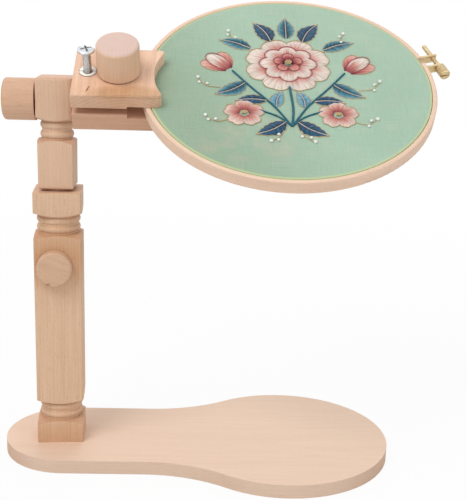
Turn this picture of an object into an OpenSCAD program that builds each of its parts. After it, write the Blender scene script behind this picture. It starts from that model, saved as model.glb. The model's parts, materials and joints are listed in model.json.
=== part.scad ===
// Table-top embroidery stand in turned beech: a board, a two-part post,
// a tilting clamp and a round hoop with a stretched piece of cloth.
// The origin lies on the post's axis at the underside of the board.
// +X runs along the board towards its wide end, +Z is up and the user sits on -Y.

/* [Board] */
// Overall length of the board
base_l = 300; // [270:1:360]
// Thickness of the board
base_t = 10.6; // [9:0.1:16]
// Radius of the narrow end
end_r = 48.3; // [42:0.1:60]
// Radius of the wide end
bulb_r = 81.7; // [75:0.1:110]
// Radius of the hollow curve between the two ends
neck_r = 110; // [80:1:160]
// Distance from the narrow end to the post's axis
post_inset = 42.9; // [36:0.1:50]
// Distance of each board screw from the post's axis
screw_pitch = 10.5; // [9:0.1:12]
// Shank diameter of the board screws
screw_d = 4.5; // [3.5:0.1:5]
// Length of the board screws
screw_l = 32; // [25:1:35]
// How deep the screw heads lie in the board
screw_sink = 0.3; // [0.1:0.1:1]

/* [Lower post] */
// Width of the square lower post
lower_w = 35; // [32:0.1:42]
// How far the lower post stands turned on the board, in degrees
post_turn = 3.8; // [0:0.1:8]
// Height of the square block at its foot
foot_h = 17.5; // [14:0.1:26]
// Height of each turned pair of beads
beads_h = 14.5; // [14:0.1:18]
// Length of the long square middle
column_l = 132.7; // [110:0.1:190]
// Height of the square cap
cap_h = 17.9; // [12:0.1:26]
// Diameter over the beads
bead_d = 32.4; // [31:0.1:34]
// Radius of a bead's section
bead_r = 3.2; // [2.6:0.1:3.5]
// How much lower a turned shoulder lies at the corners
shoulder_drop = 3.1; // [1:0.1:4]
// Rounding of the upright edges
edge_r = 1.2; // [0.5:0.1:2]

/* [Dowel and height bolt] */
// Diameter of the dowel
dowel_d = 18; // [15:0.1:19]
// Length of the dowel inside the lower post when the stand is lowest
dowel_down = 146; // [120:1:152]
// Length of the dowel inside the upper post
dowel_up = 29; // [20:1:33]
// Room under the dowel when the stand is lowest
dowel_room = 6; // [4:0.5:10]
// How far the upper post is raised
height_now = 1.6; // [1.6:0.1:60]
// Height of the height bolt above the board's underside
height_bolt_z = 152; // [140:0.1:162]
// How far the height bolt sits off the post's middle, to the right
height_bolt_side = -2.2; // [-3:0.1:3]
// Rounding of the height knob's outer edge
height_knob_round = 1.6; // [0.8:0.1:2.5]
// Diameter of the height knob
height_knob_d = 26; // [20:0.1:30]
// Length of the height knob
height_knob_l = 8.6; // [8:0.1:22]
// Gap between the height knob and the post
height_knob_gap = 0.6; // [0.4:0.1:4]

/* [Upper post] */
// Width of the square upper post
upper_w = 27.6; // [26.5:0.1:30]
// Height of the square part
upper_l = 35.8; // [34:0.1:60]
// Height of the turned pair of beads
upper_beads_h = 14.4; // [13.8:0.1:17]
// Diameter over the upper beads
upper_bead_d = 24.4; // [23:0.1:26]
// Radius of an upper bead's section
upper_bead_r = 3.4; // [2.6:0.1:3.4]
// Height of the head block
head_h = 30.6; // [28:0.1:36]
// Depth of the flat that is cut on the head towards the clamp
head_flat = 5.8; // [4:0.1:6.5]
// Rounding of the upper post's two ends
post_end_r = 1.8; // [0.8:0.1:2.5]
// Height of the tilt bolt below the top of the head
tilt_down = 16.8; // [14:0.1:18]

/* [Knobs and bolts] */
// Diameter of the tilt and clamp knobs
knob_d = 30.4; // [26:0.1:36]
// Length of the tilt and clamp knobs
knob_l = 23.2; // [20:0.1:28]
// Rounding of a knob's outer edge
knob_round = 2.4; // [0.8:0.1:3]
// Wood left over the blind bore of a knob
knob_floor = 3; // [2:0.1:6]
// Diameter of the height, clamp and levelling bolts
bolt_d = 6; // [5:0.5:6.5]
// Diameter of the tilt bolt
tilt_bolt_d = 5; // [4:0.5:5.5]
// Thickness of the steel washers
washer_t = 0.9; // [0.6:0.1:1.2]
// Diameter of the steel washers
washer_d = 14; // [12:0.5:20]
// Length of the threaded inserts
insert_l = 12; // [8:0.5:14]

/* [Clamp] */
// How far the clamp is tilted towards the user, in degrees
arm_tilt = 31.5; // [0:0.5:60]
// Length of the clamp jaws
jaw_l = 63.3; // [58:0.1:75]
// Width of the clamp jaws
jaw_w = 55.4; // [50:0.1:64]
// Thickness of the upper jaw
upper_jaw_t = 11.4; // [9:0.1:16]
// Thickness of the lower jaw
lower_jaw_t = 14; // [12:0.1:18]
// Wood under the tilt bolt's axis
lower_jaw_below = 4.6; // [4.4:0.1:7]
// Diameter of the round boss on the lower jaw that bears on the head
boss_d = 27; // [20:0.1:27.2]
// Depth of the tilt bolt in the lower jaw
tilt_bolt_in = 20; // [14:0.5:22]
// Height of the open throat between the jaws
throat = 5.2; // [4:0.1:6.5]
// Depth of the slot that takes the hoop
slot_l = 24.2; // [18:0.1:26]
// Depth of the hollow curve at the jaws' open end
scoop_depth = 6.2; // [3:0.1:8]
// Radius of the round tips on both sides of the hollow curve
tip_r = 3; // [2:0.1:5]
// Distance from the tilt end of the jaws to the clamp bolt
clamp_bolt_x = 32.2; // [29:0.1:34]
// Distance from the tilt end of the jaws to the levelling screw
level_x = 10.2; // [8:0.1:11.5]
// Length of the levelling screw below its head
level_l = 31.6; // [24:0.1:40]
// Diameter of the levelling screw's head
level_head_d = 12; // [10:0.1:13]

/* [Hoop] */
// Outer diameter of the hoop
hoop_d = 213.8; // [190:0.2:250]
// Height of the rings
ring_h = 9.8; // [8:0.1:12]
// Thickness of the outer ring
outer_t = 3.4; // [2.6:0.1:5]
// Thickness of the inner ring
inner_t = 4.6; // [3:0.1:7]
// Thickness of the cloth
cloth_t = 0.5; // [0.3:0.05:1]
// How far the hoop reaches into the jaws
hoop_in = 16.2; // [12:0.1:20]
// How far the hoop sits off the clamp's middle line
hoop_side = 5.6; // [-8:0.1:8]
// Width of the split in the outer ring
split_w = 7; // [4:0.5:9]
// Place of the split, in degrees from the clamp's line
split_angle = 17.5; // [-30:0.5:40]
// Distance from the ring to the tension screw
tension_out = 11.5; // [8:0.1:13]
// Reach of the brackets beyond the tension screw
tension_edge = 2.5; // [2.5:0.1:5]
// Diameter of the tension screw's head
tension_head_d = 7.8; // [6:0.1:9]
// Length of the tension screw's head
tension_head_l = 6.6; // [5:0.1:14]
// Diameter of the tension screw's shank
tension_d = 3.4; // [2.5:0.1:4]
// Length of the tension screw's shank
tension_l = 28.4; // [24:0.1:34]
// Thickness of the brass strip
strip_t = 0.9; // [0.6:0.1:1.2]
// Width of the brass strip
strip_w = 6; // [5:0.1:9]

/* [Hidden] */
$fn = 64;

// Running clearance on the radius of every bolt, shaft and sliding part
run = 0.05;
// Gap between flat faces that move past each other
gap = 0.1;
// Gap between the jaws' end and the square post, which they pass as the clamp tilts
jaw_gap = 0.2;
// Wall of a threaded insert
insert_wall = 2;
// Flat that is skimmed off the head, and how deep an insert lies in the wood
skim = 0.3;
// How far the hoop's slot lies under the middle of the throat
slot_low = 0.4;

beech = [0.88, 0.75, 0.62];
beech_light = [0.91, 0.80, 0.71];
beech_end = [0.92, 0.81, 0.76];
steel = [0.75, 0.76, 0.78];
brass = [0.80, 0.66, 0.43];
sage = [0.67, 0.78, 0.69];

// Heights along the post
foot_z = base_t + foot_h;
column_z = foot_z + beads_h;
column_top = column_z + column_l;
cap_z = column_top + beads_h;
lower_top = cap_z + cap_h;
bore_floor = lower_top - dowel_down - dowel_room;
upper_z = lower_top + height_now;
upper_beads_z = upper_z + upper_l;
head_z = upper_beads_z + upper_beads_h;
head_top = head_z + head_h;
tilt_z = head_top - tilt_down;
dowel_r = dowel_d / 2;

// Places along the tilt bolt, to the right of the post's axis
head_right = upper_w / 2 - head_flat;
head_left = -upper_w / 2 + skim;
jaw_x = upper_w / 2 + jaw_gap;
boss_x = head_right + gap;
tilt_knob_x = head_left - washer_t - 2 * gap;
tilt_bolt_r = tilt_bolt_d / 2;
bolt_r = bolt_d / 2;

// Heights across the clamp, from the tilt bolt's axis
lower_jaw_z = -lower_jaw_below;
lower_jaw_top = lower_jaw_z + lower_jaw_t;
upper_jaw_z = lower_jaw_top + throat;
upper_jaw_top = upper_jaw_z + upper_jaw_t;
slot_h = ring_h + 2 * gap;
slot_z = (lower_jaw_top + upper_jaw_z - slot_h) / 2 - slot_low;
clamp_x = jaw_x + clamp_bolt_x;
level_at = jaw_x + level_x;
jaw_end = jaw_x + jaw_l;
slot_x = jaw_end - slot_l;
clamp_knob_z = upper_jaw_top + washer_t + gap;

// Insert of the levelling screw, with a flange let into the jaw
level_insert_d = bolt_d + 2 * insert_wall;
level_flange_rim = 1.2;
level_flange_d = level_insert_d + 2 * level_flange_rim;
level_flange_t = 1.5;
level_flange_up = 0.3;

// Hexagon head of the clamp bolt, and how deep it lies in the lower jaw
clamp_head_h = 4;
clamp_head_d = 11.2;
clamp_sink = clamp_head_h + 0.8;

// Width of the square core that joins the boss to the lower jaw
boss_w = 0.6 * boss_d;

// Straight rim of a board screw's countersunk head
screw_rim = 0.3;

// Places on the hoop, from the hoop's centre: the ears of the brackets are folded double, each with
// a foot along the ring, and the split's cut runs past the ring on both sides
hoop_r = hoop_d / 2;
hoop_x = jaw_end - hoop_in + hoop_r;
ring_z = slot_z + gap;
outer_in = hoop_r - outer_t;
inner_out = outer_in - cloth_t;
inner_in = inner_out - inner_t;
tension_r = hoop_r + tension_out;
ear_w = 2 * strip_t;
ear_back = 1.6;
ear_y = split_w / 2 + ear_back + ear_w / 2;
foot_l = 13;
foot_reach = 8;
split_past = 4;
strip_z = ring_z + (ring_h - strip_w) / 2;
tension_z = ring_z + ring_h / 2;

// Moves its children from the tilt bolt's axis to the tilted clamp
module on_clamp() {
    translate([0, 0, tilt_z]) rotate([arm_tilt, 0, 0]) children();
}

// Moves its children from the hoop's centre to the hoop in the clamp
module on_hoop() {
    on_clamp() translate([hoop_x, hoop_side, 0]) children();
}

// Moves its children to the split, with X pointing out of the ring
module at_split() {
    on_hoop() rotate([0, 0, split_angle]) children();
}

// Square of side w with round corners of radius r
module soft_square(w, r) {
    square([w, w - 2 * r], center = true);
    square([w - 2 * r, w], center = true);
    for (x = [-1, 1], y = [-1, 1]) {
        translate([x * (w / 2 - r), y * (w / 2 - r)]) circle(r);
    }
}

// Rectangle from the origin with round corners of radius r
module soft_rect(w, h, r) {
    translate([r, 0]) square([w - 2 * r, h]);
    translate([0, r]) square([w, h - 2 * r]);
    for (x = [r, w - r], y = [r, h - r]) {
        translate([x, y]) circle(r);
    }
}

// Height of the centre of the arc that falls by drop from a square's face to its corner
function dome_h(w, drop) = (w * w / 4 + drop * drop) / (2 * drop);

// Half section of a square length on the lathe, with domed shoulders where a drop is given
module square_run(w, z0, z1, drop0, drop1) {
    half = (z1 - z0) / 2;
    intersection() {
        translate([0, z0]) square([w, half + 1]);
        dome(w, z0 + dome_h(w, drop0), drop0);
    }
    intersection() {
        translate([0, z0 + half - 1]) square([w, half + 1]);
        dome(w, z1 - dome_h(w, drop1), drop1);
    }
}

// Circle whose arc makes the shoulder, or a plain square where the drop is almost nothing
module dome(w, z, drop) {
    h = dome_h(w, drop);
    translate([0, z]) circle(sqrt(w * w / 4 + h * h), $fn = 180);
}

// Half section of two beads between z0 and z0 + h
module bead_pair(d, r, z0, h) {
    translate([0, z0 - 1]) square([d / 2 - 1.3, h + 2]);
    for (side = [-1, 1]) {
        translate([d / 2 - r, z0 + h / 2 + side * r]) circle(r);
    }
}

// Turned knob standing on z = 0, with a rounded outer edge and a blind bore that starts wider for an insert
module knob(d, l, round, wide_d, wide_l, bore_d) {
    difference() {
        rotate_extrude($fn = 96) {
            square([d / 2, l - round]);
            square([d / 2 - round, l]);
            translate([d / 2 - round, l - round]) circle(round);
        }
        translate([0, 0, -1]) cylinder(h = wide_l + 1, d = wide_d);
        translate([0, 0, -1]) cylinder(h = l - knob_floor + 1, d = bore_d);
    }
}

// Flat ring on z = 0
module flat_ring(d_out, d_in, t) {
    difference() {
        cylinder(h = t, d = d_out);
        translate([0, 0, -1]) cylinder(h = t + 2, d = d_in);
    }
}

// Outline of the board: a round end, straight sides, a hollow neck and a round wide end
module board_outline() {
    left = -post_inset + end_r;
    right = base_l - post_inset - bulb_r;
    reach = sqrt((bulb_r + neck_r) * (bulb_r + neck_r) - (end_r + neck_r) * (end_r + neck_r));
    meet = bulb_r / (bulb_r + neck_r);
    neck_x = right - reach;
    translate([left, 0]) circle(end_r, $fn = 180);
    translate([left, -end_r]) square([neck_x - left, 2 * end_r]);
    translate([right, 0]) circle(bulb_r, $fn = 180);
    difference() {
        polygon([[neck_x, -end_r], [right - reach * meet, -(end_r + neck_r) * meet], [right, 0],
            [right - reach * meet, (end_r + neck_r) * meet], [neck_x, end_r]]);
        for (side = [-1, 1]) {
            translate([neck_x, side * (end_r + neck_r)]) circle(neck_r, $fn = 240);
        }
    }
}

// Countersunk wood screw with the top of its cone on z = 0, and a straight rim below that
module wood_screw(rim) {
    head_r = screw_d - 0.3;
    point = screw_d;
    rotate_extrude() polygon([[0, -rim], [head_r, -rim], [head_r, 0], [screw_d / 2, 0.6 * screw_d],
        [screw_d / 2, screw_l - point], [0.4, screw_l], [0, screw_l]]);
}

// Moves its children to the two board screws
module at_screws() {
    for (side = [-1, 1]) {
        rotate([0, 0, post_turn]) translate([side * screw_pitch, 0, screw_sink + screw_rim]) children();
    }
}

module base_board() {
    color(beech_light) difference() {
        linear_extrude(base_t) board_outline();
        at_screws() wood_screw(screw_sink + screw_rim + 1);
    }
}

module base_screws() {
    color(steel) at_screws() difference() {
        wood_screw(screw_rim);
        translate([0, 0, -screw_rim - 1]) cross_slot(screw_d, screw_d / 5, 2.8);
    }
}

// Cross-shaped recess on z = 0
module cross_slot(l, w, depth) {
    translate([-l / 2, -w / 2, 0]) cube([l, w, depth]);
    translate([-w / 2, -l / 2, 0]) cube([w, l, depth]);
}

module lower_post() {
    color(beech) difference() {
        rotate([0, 0, post_turn]) intersection() {
            translate([0, 0, base_t]) linear_extrude(lower_top - base_t) soft_square(lower_w, edge_r);
            rotate_extrude($fn = 96) {
                square_run(lower_w, base_t, foot_z, 0.3, shoulder_drop);
                bead_pair(bead_d, bead_r, foot_z, beads_h);
                square_run(lower_w, column_z, column_top, shoulder_drop, shoulder_drop);
                bead_pair(bead_d, bead_r, column_top, beads_h);
                square_run(lower_w, cap_z, lower_top, shoulder_drop, 0.3);
            }
        }
        translate([0, 0, bore_floor]) cylinder(h = lower_top - bore_floor + 1, r = dowel_r + run);
        at_height_bolt() translate([0, 0, -lower_w / 2]) cylinder(h = lower_w, d = bolt_d + 2 * insert_wall);
        at_screws() wood_screw(0);
    }
}

// Moves its children to the height bolt on the post's face, with Z pointing out of the post
module at_height_bolt() {
    rotate([0, 0, post_turn]) translate([height_bolt_side, -lower_w / 2, height_bolt_z]) {
        rotate([90, 0, 0]) children();
    }
}

module height_insert() {
    l = lower_w / 2 - dowel_r - 1.2 - skim;
    color(brass) at_height_bolt() translate([0, 0, -skim - l]) {
        flat_ring(bolt_d + 2 * insert_wall, bolt_d + 2 * run, l);
    }
}

module height_bolt() {
    inside = lower_w / 2 - dowel_r - skim;
    color(steel) at_height_bolt() translate([0, 0, -inside]) {
        cylinder(h = 1, r1 = bolt_r - 1, r2 = bolt_r);
        translate([0, 0, 1]) {
            cylinder(h = inside + height_knob_gap + height_knob_l - knob_floor - 1.5, r = bolt_r);
        }
    }
}

module height_knob() {
    color(beech_end) at_height_bolt() translate([0, 0, height_knob_gap]) {
        knob(height_knob_d, height_knob_l, height_knob_round, bolt_d, 1, bolt_d);
    }
}

module dowel() {
    bottom = upper_z - dowel_down;
    color(beech) {
        translate([0, 0, bottom]) cylinder(h = 1.5, r1 = dowel_r - 1.5, r2 = dowel_r);
        translate([0, 0, bottom + 1.5]) cylinder(h = dowel_down + dowel_up - 1.5, r = dowel_r);
    }
}

// Upright block with its end edges rounded, seen along one side
module end_rounding(turn) {
    rotate([0, 0, turn]) translate([-upper_w / 2, upper_w, upper_z]) rotate([90, 0, 0]) {
        linear_extrude(2 * upper_w) soft_rect(upper_w, head_top - upper_z, post_end_r);
    }
}

module upper_post() {
    color(beech) difference() {
        intersection() {
            translate([0, 0, upper_z - 1]) linear_extrude(head_top - upper_z + 2) soft_square(upper_w, edge_r);
            end_rounding(0);
            end_rounding(90);
            rotate_extrude($fn = 96) {
                square_run(upper_w, upper_z, upper_beads_z, 0.3, shoulder_drop);
                bead_pair(upper_bead_d, upper_bead_r, upper_beads_z, upper_beads_h);
                square_run(upper_w, head_z, head_top, shoulder_drop, 0.3);
            }
        }
        translate([0, 0, upper_z - 1]) cylinder(h = dowel_up + 1.4, r = dowel_r + run);
        translate([head_right, -upper_w, head_z - 0.2]) cube([upper_w, 2 * upper_w, head_h + 1]);
        translate([-upper_w, -upper_w, head_z + shoulder_drop]) {
            cube([upper_w + head_left, 2 * upper_w, head_h]);
        }
        translate([-upper_w, 0, tilt_z]) rotate([0, 90, 0]) cylinder(h = 2 * upper_w, r = tilt_bolt_r + run);
    }
}

// Moves its children to the tilt bolt's axis, with Z pointing from the knob to the clamp
module at_tilt_bolt() {
    on_clamp() rotate([0, 90, 0]) children();
}

module tilt_bolt() {
    left = tilt_knob_x - knob_l + knob_floor + 1;
    color(steel) at_tilt_bolt() translate([0, 0, left]) {
        cylinder(h = jaw_x + tilt_bolt_in - left, r = tilt_bolt_r);
    }
}

module tilt_knob() {
    color(beech_end) at_tilt_bolt() translate([0, 0, tilt_knob_x]) mirror([0, 0, 1]) {
        knob(knob_d, knob_l, knob_round, tilt_bolt_d + 2 * insert_wall, insert_l, tilt_bolt_d + 1);
    }
}

module tilt_knob_nut() {
    color(brass) at_tilt_bolt() translate([0, 0, tilt_knob_x - insert_l]) {
        flat_ring(tilt_bolt_d + 2 * insert_wall, tilt_bolt_d + 2 * run, insert_l);
    }
}

module tilt_washer() {
    color(steel) at_tilt_bolt() translate([0, 0, head_left - gap - washer_t]) {
        flat_ring(washer_d, tilt_bolt_d, washer_t);
    }
}

// Plan of a jaw: a rectangle with a hollow curve that flows into a round tip on each side
module jaw_plan() {
    tip_y = jaw_w / 2 - tip_r;
    scoop_r = (tip_y * tip_y + scoop_depth * scoop_depth - 2 * tip_r * scoop_depth) / (2 * scoop_depth);
    scoop_x = jaw_l - scoop_depth + scoop_r;
    touch = scoop_r / (scoop_r + tip_r);
    touch_x = scoop_x - (scoop_x - jaw_l + tip_r) * touch;
    difference() {
        translate([0, -jaw_w / 2]) soft_rect(jaw_l, jaw_w, 1);
        translate([scoop_x, 0]) circle(scoop_r, $fn = 180);
        for (side = [-1, 1]) difference() {
            polygon([[jaw_l + 1, side * (jaw_w / 2 + 1)], [jaw_l - tip_r, side * (jaw_w / 2 + 1)],
                [jaw_l - tip_r, side * tip_y], [touch_x, side * tip_y * touch], [jaw_l + 1, side * tip_y * touch]]);
            translate([jaw_l - tip_r, side * tip_y]) circle(tip_r);
        }
    }
}

// Jaw blank between two heights, with its long edges and ends rounded
module jaw_blank(z, t) {
    intersection() {
        translate([jaw_x, 0, z]) linear_extrude(t) jaw_plan();
        translate([jaw_x - 1, -jaw_w / 2, z]) rotate([90, 0, 90]) linear_extrude(jaw_l + 2) {
            soft_rect(jaw_w, t, 1);
        }
        translate([jaw_x, jaw_w / 2 + 1, z]) rotate([90, 0, 0]) linear_extrude(jaw_w + 2) {
            soft_rect(jaw_l, t, 1);
        }
    }
}

module lower_jaw() {
    color(beech_light) on_clamp() difference() {
        union() {
            jaw_blank(lower_jaw_z, lower_jaw_t);
            translate([boss_x, 0, 0]) rotate([0, 90, 0]) cylinder(h = jaw_x - boss_x, d = boss_d);
            translate([boss_x, -boss_w / 2, lower_jaw_z]) cube([jaw_x + 2 - boss_x, boss_w, lower_jaw_t]);
        }
        translate([slot_x, -jaw_w, slot_z]) cube([slot_l + 1, 2 * jaw_w, slot_h]);
        translate([clamp_x, 0, lower_jaw_z - 1]) cylinder(h = lower_jaw_t + 2, d = bolt_d);
        translate([clamp_x, 0, lower_jaw_z - 1]) cylinder(h = clamp_sink + 1, d = clamp_head_d + 2);
        translate([boss_x - 1, 0, 0]) rotate([0, 90, 0]) {
            cylinder(h = jaw_x + tilt_bolt_in - boss_x + 1, r = tilt_bolt_r);
        }
    }
}

module clamp_bolt() {
    head_z = lower_jaw_z + clamp_sink - clamp_head_h;
    color(steel) on_clamp() translate([clamp_x, 0, head_z]) {
        cylinder(h = clamp_head_h, d = clamp_head_d, $fn = 6);
        cylinder(h = clamp_knob_z + knob_l - knob_floor - 1 - head_z, r = bolt_r);
    }
}

module upper_jaw() {
    color(beech_light) on_clamp() difference() {
        jaw_blank(upper_jaw_z, upper_jaw_t);
        translate([slot_x, -jaw_w, slot_z]) cube([slot_l + 1, 2 * jaw_w, slot_h]);
        translate([clamp_x, 0, upper_jaw_z - 1]) cylinder(h = upper_jaw_t + 2, r = bolt_r + 2 * run);
        translate([level_at, 0, upper_jaw_z - 1]) cylinder(h = upper_jaw_t + 2, d = level_insert_d);
        translate([level_at, 0, upper_jaw_top + level_flange_up - level_flange_t]) {
            cylinder(h = level_flange_t, d = level_flange_d);
        }
    }
}

module clamp_washer() {
    color(steel) on_clamp() translate([clamp_x, 0, upper_jaw_top]) {
        flat_ring(washer_d + 2, bolt_d + 4 * run, washer_t);
    }
}

module clamp_knob() {
    color(beech_end) on_clamp() translate([clamp_x, 0, clamp_knob_z]) {
        knob(knob_d, knob_l, knob_round, bolt_d + 2 * insert_wall, insert_l, bolt_d + 1);
    }
}

module clamp_knob_nut() {
    color(brass) on_clamp() translate([clamp_x, 0, clamp_knob_z]) {
        flat_ring(bolt_d + 2 * insert_wall, bolt_d + 2 * run, insert_l);
    }
}

module levelling_insert() {
    color(steel) on_clamp() translate([level_at, 0, 0]) difference() {
        union() {
            translate([0, 0, upper_jaw_z + 0.6]) cylinder(h = upper_jaw_t - 0.6, d = level_insert_d);
            translate([0, 0, upper_jaw_top + level_flange_up - level_flange_t]) {
                cylinder(h = level_flange_t, d = level_flange_d);
            }
        }
        translate([0, 0, upper_jaw_z]) cylinder(h = upper_jaw_t + 2, r = bolt_r + run);
        translate([-level_flange_d, -0.6, upper_jaw_top - 0.6]) cube([2 * level_flange_d, 1.2, 2]);
    }
}

module levelling_screw() {
    tip = lower_jaw_top + gap;
    head_h = 3.6;
    color(steel) on_clamp() translate([level_at, 0, tip]) {
        cylinder(h = 1, r1 = bolt_r - 1, r2 = bolt_r);
        translate([0, 0, 1]) cylinder(h = level_l - 1, r = bolt_r);
        translate([0, 0, level_l]) difference() {
            pan_head(level_head_d, head_h);
            translate([0, 0, head_h - 2.2]) rotate([0, 0, 20]) cross_slot(6.4, 1.3, 3);
        }
    }
}

// Pan head on z = 0: a low cylinder with a domed, round-edged top
module pan_head(d, h) {
    dome_r = d;
    intersection() {
        cylinder(h = h, d = d);
        translate([0, 0, h - dome_r]) sphere(dome_r, $fn = 96);
    }
}

// Ring section between two radii, with softly rounded edges
module ring(r_in, r_out, z, h, round) {
    rotate_extrude($fn = 240) translate([r_in, z]) soft_rect(r_out - r_in, h, round);
}

module outer_ring() {
    color(beech_light) on_hoop() difference() {
        ring(outer_in, hoop_r, ring_z, ring_h, 0.9);
        rotate([0, 0, split_angle]) translate([outer_in - split_past, -split_w / 2, ring_z - 1]) {
            cube([outer_t + 2 * split_past, split_w, ring_h + 2]);
        }
    }
}

module inner_ring() {
    color(beech_light) on_hoop() {
        ring(inner_in, inner_out, ring_z, ring_h - cloth_t, 0.9);
    }
}

module cloth() {
    color(sage) on_hoop() translate([0, 0, ring_z + ring_h - cloth_t]) {
        cylinder(h = cloth_t, r = outer_in, $fn = 240);
    }
}

// Plan of a brass bracket: a foot along the ring and a strip folded double that stands out of it
module bracket_plan() {
    out = tension_r + tension_edge;
    translate([hoop_r - strip_t, ear_y - ear_w / 2]) {
        square([out - hoop_r - ear_w / 2 + strip_t, ear_w]);
        translate([out - hoop_r - ear_w / 2 + strip_t, ear_w / 2]) circle(ear_w / 2);
    }
    intersection() {
        circle(hoop_r + strip_t, $fn = 240);
        translate([hoop_r - foot_reach, ear_y - ear_w / 2]) square([2 * foot_reach, foot_l]);
    }
}

// Bracket with its hole for the tension screw, which is threaded in the upper one
module bracket() {
    difference() {
        translate([0, 0, strip_z]) linear_extrude(strip_w) difference() {
            bracket_plan();
            circle(hoop_r, $fn = 240);
        }
        translate([tension_r, ear_y + ear_w, tension_z]) rotate([90, 0, 0]) {
            cylinder(h = 2 * ear_w, r = tension_d / 2 + run);
        }
    }
}

module bracket_upper() {
    color(brass) at_split() bracket();
}

module bracket_lower() {
    color(brass) at_split() mirror([0, 1, 0]) bracket();
}

// Angle between the split and a tack
tack_angle = (ear_y + ear_w / 2 + 3.4) / hoop_r * 180 / PI;

module bracket_tacks() {
    color(brass) at_split() for (side = [-1, 1], up = [-1, 1]) {
        rotate([0, 0, side * tack_angle]) translate([hoop_r + strip_t, 0, tension_z + up * 2.2]) {
            rotate([0, 90, 0]) cylinder(h = 0.7, r1 = 1.2, r2 = 0.7);
        }
    }
}

module tension_screw() {
    start = -ear_y - ear_w / 2 - gap;
    color(brass) at_split() translate([tension_r, start, tension_z]) rotate([90, 0, 0]) {
        difference() {
            union() {
                rotate_extrude() {
                    square([tension_head_d / 2, tension_head_l - 0.8]);
                    square([tension_head_d / 2 - 0.8, tension_head_l]);
                    translate([tension_head_d / 2 - 0.8, tension_head_l - 0.8]) circle(0.8);
                }
                translate([0, 0, -tension_l]) cylinder(h = tension_l + 1, r = tension_d / 2);
            }
            translate([-tension_head_d, -0.6, tension_head_l - 1.6]) cube([2 * tension_head_d, 1.2, 3]);
        }
    }
}

base_board();
base_screws();
lower_post();
height_insert();
height_bolt();
height_knob();
dowel();
upper_post();
tilt_knob();
tilt_knob_nut();
tilt_bolt();
tilt_washer();
lower_jaw();
clamp_bolt();
upper_jaw();
clamp_washer();
clamp_knob();
clamp_knob_nut();
levelling_insert();
levelling_screw();
outer_ring();
inner_ring();
cloth();
bracket_upper();
bracket_lower();
bracket_tacks();
tension_screw();
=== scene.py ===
import json
import math
import random

import bmesh
import bpy
from mathutils import Matrix, Vector


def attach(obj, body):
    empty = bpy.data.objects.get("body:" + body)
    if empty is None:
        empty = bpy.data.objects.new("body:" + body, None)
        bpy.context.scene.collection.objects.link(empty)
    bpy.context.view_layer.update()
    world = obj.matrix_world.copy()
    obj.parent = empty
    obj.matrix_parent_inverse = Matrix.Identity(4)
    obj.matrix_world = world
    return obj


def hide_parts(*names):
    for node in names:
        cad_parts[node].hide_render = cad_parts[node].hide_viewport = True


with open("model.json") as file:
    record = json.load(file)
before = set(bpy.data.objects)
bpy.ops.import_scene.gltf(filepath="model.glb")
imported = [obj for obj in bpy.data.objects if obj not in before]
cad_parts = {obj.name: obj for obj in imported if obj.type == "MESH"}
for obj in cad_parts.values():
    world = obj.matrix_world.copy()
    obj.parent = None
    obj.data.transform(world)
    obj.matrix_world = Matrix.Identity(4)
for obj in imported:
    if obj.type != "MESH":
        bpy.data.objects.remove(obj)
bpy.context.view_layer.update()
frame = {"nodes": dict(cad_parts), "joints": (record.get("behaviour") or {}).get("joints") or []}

MM = 0.001


# Finer shapes than the solids have, with lengths in millimetres

BEADS_BELOW_BOLT = 28.2
HEAD_ABOVE_BEADS = 12
HEAD_ROUND = 4.5
HEAD_CUTS = 7
SQUARE_SLIMMER = 0.07
SLIMMER_OVER = 3
DOWEL_WALL = 10
JAW_START = 13.95
JAW_GRAIN_FROM = (66.8, 0, 48.6)

LEVEL_HEAD_L = 3.65
LEVEL_HEAD_RISE = 2.6
LEVEL_HEAD_FLAT = 0.65
LEVEL_SHANK_R = 3.0
LEVEL_PITCH = 1.0
RECESS_DEGREES = 20
RECESS_R = 3.8
INSERT_HOLE_R = 3.2
INSERT_R = 6.3

TENSION_END_L = 2.0
TENSION_LONGER = 2.6
TENSION_SHANK_R = 1.7
TENSION_PITCH = 0.7
TENSION_KNURLS = 22

CLOTH_ROLL = 0.9
CLOTH_ROLL_STEPS = 6
CLOTH_PAST_RING = 0.22
CLOTH_ABOVE_FOOT = 0.6
CLOTH_THICK = 0.4
CLOTH_STEPS = 192
THREADS_PER_MM = 1.9

CORD_SIDES = 6
STRAND_W = 0.62


# Places that the frame gives

def joint(name):
    """The record of one joint."""
    return next(j for j in frame["joints"] if j["name"] == name)


def corners_in(node, place):
    """Lowest and highest corner of a node, in the axes of a place."""
    back = place.inverted()
    points = [back @ v.co for v in frame["nodes"][node].data.vertices]
    low = Vector(min(p[i] for p in points) for i in range(3))
    high = Vector(max(p[i] for p in points) for i in range(3))
    return low, high


def place_on(origin, x_axis, z_axis):
    """A place with its own origin, X and Z."""
    x = Vector(x_axis).normalized()
    z = Vector(z_axis).normalized()
    turn = Matrix((x, z.cross(x), z)).transposed().to_4x4()
    return Matrix.Translation(Vector(origin)) @ turn


CLAMP = place_on(joint("clamp_tilt")["pos_m"], (1, 0, 0), joint("upper_jaw_lift")["axis"])
CLAMP_UP = CLAMP.col[2].xyz
hoop_low, hoop_high = corners_in("inner_ring", CLAMP)
hoop_middle = (hoop_low + hoop_high) / 2
ring_low, ring_high = corners_in("outer_ring", CLAMP)
HOOP = CLAMP @ Matrix.Translation((hoop_middle.x, hoop_middle.y, ring_high.z))
RING_R = (ring_high.x - ring_low.x) / 2
RING_H = ring_high.z - ring_low.z
INNER_R = (hoop_high.x - hoop_low.x) / 2


# Shader maths

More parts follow.
